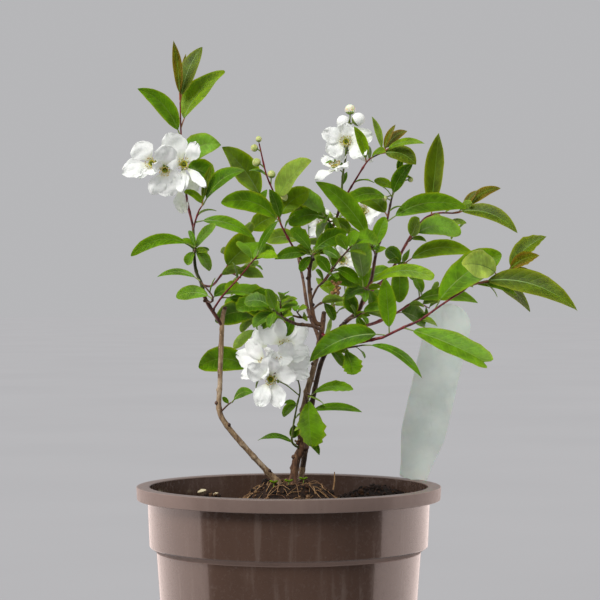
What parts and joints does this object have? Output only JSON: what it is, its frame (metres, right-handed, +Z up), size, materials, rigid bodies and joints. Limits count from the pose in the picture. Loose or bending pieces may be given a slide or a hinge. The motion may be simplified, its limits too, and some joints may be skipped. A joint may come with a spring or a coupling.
{
  "type": "potted pearlbush",
  "caption": "Young garden shrub with green leaves and white five-petalled flowers in a round taupe nursery pot with a blank plant label.",
  "frame": {"origin": "centre of the pot's flat underside", "axes": "+Z up through the pot, +X to the right and -Y to the front of the plant"},
  "size_m": [0.272, 0.1913, 0.4251],
  "materials": {
    "pot_plastic": "satin",
    "potting_soil": "matte",
    "label_plastic": "satin",
    "bark": "matte",
    "foliage": "matte"
  },
  "bodies": {
    "root": {"arch_leaves": "foliage", "back_bough": "bark", "back_crown_leaves": "foliage", "back_left_leaves": "foliage", "back_low_leaves": "foliage", "bud_spray": "foliage", "front_bough": "bark", "front_leaves": "foliage", "inner_front_leaves": "foliage", "inner_left_leaves": "foliage", "inner_right_leaves": "foliage", "left_back_bough": "bark", "left_back_leaves": "foliage", "left_bough": "bark", "left_crown_leaves": "foliage", "left_front_leaves": "foliage", "left_rosette_leaves": "foliage", "left_shoot_leaves": "foliage", "left_side_leaves": "foliage", "left_stem": "bark", "left_stem_leaves": "foliage", "low_back_bough": "bark", "low_back_leaves": "foliage", "low_flowers": "foliage", "low_front_leaves": "foliage", "low_left_back_leaves": "foliage", "low_right_leaves": "foliage", "middle_bough": "bark", "middle_rosette_leaves": "foliage", "middle_top_leaves": "foliage", "plant_label": "label_plastic", "pot": "pot_plastic", "right_back_bough": "bark", "right_back_middle_leaves": "foliage", "right_back_side_leaves": "foliage", "right_back_top_leaves": "foliage", "right_bough": "bark", "right_inner_leaves": "foliage", "right_low_bough": "bark", "right_low_leaves": "foliage", "right_middle_leaves": "foliage", "right_top_leaves": "foliage", "second_stem": "bark", "soil": "potting_soil", "trunk": "bark", "upper_bough": "bark", "upper_flowers": "foliage"}
  },
  "joints": []
}
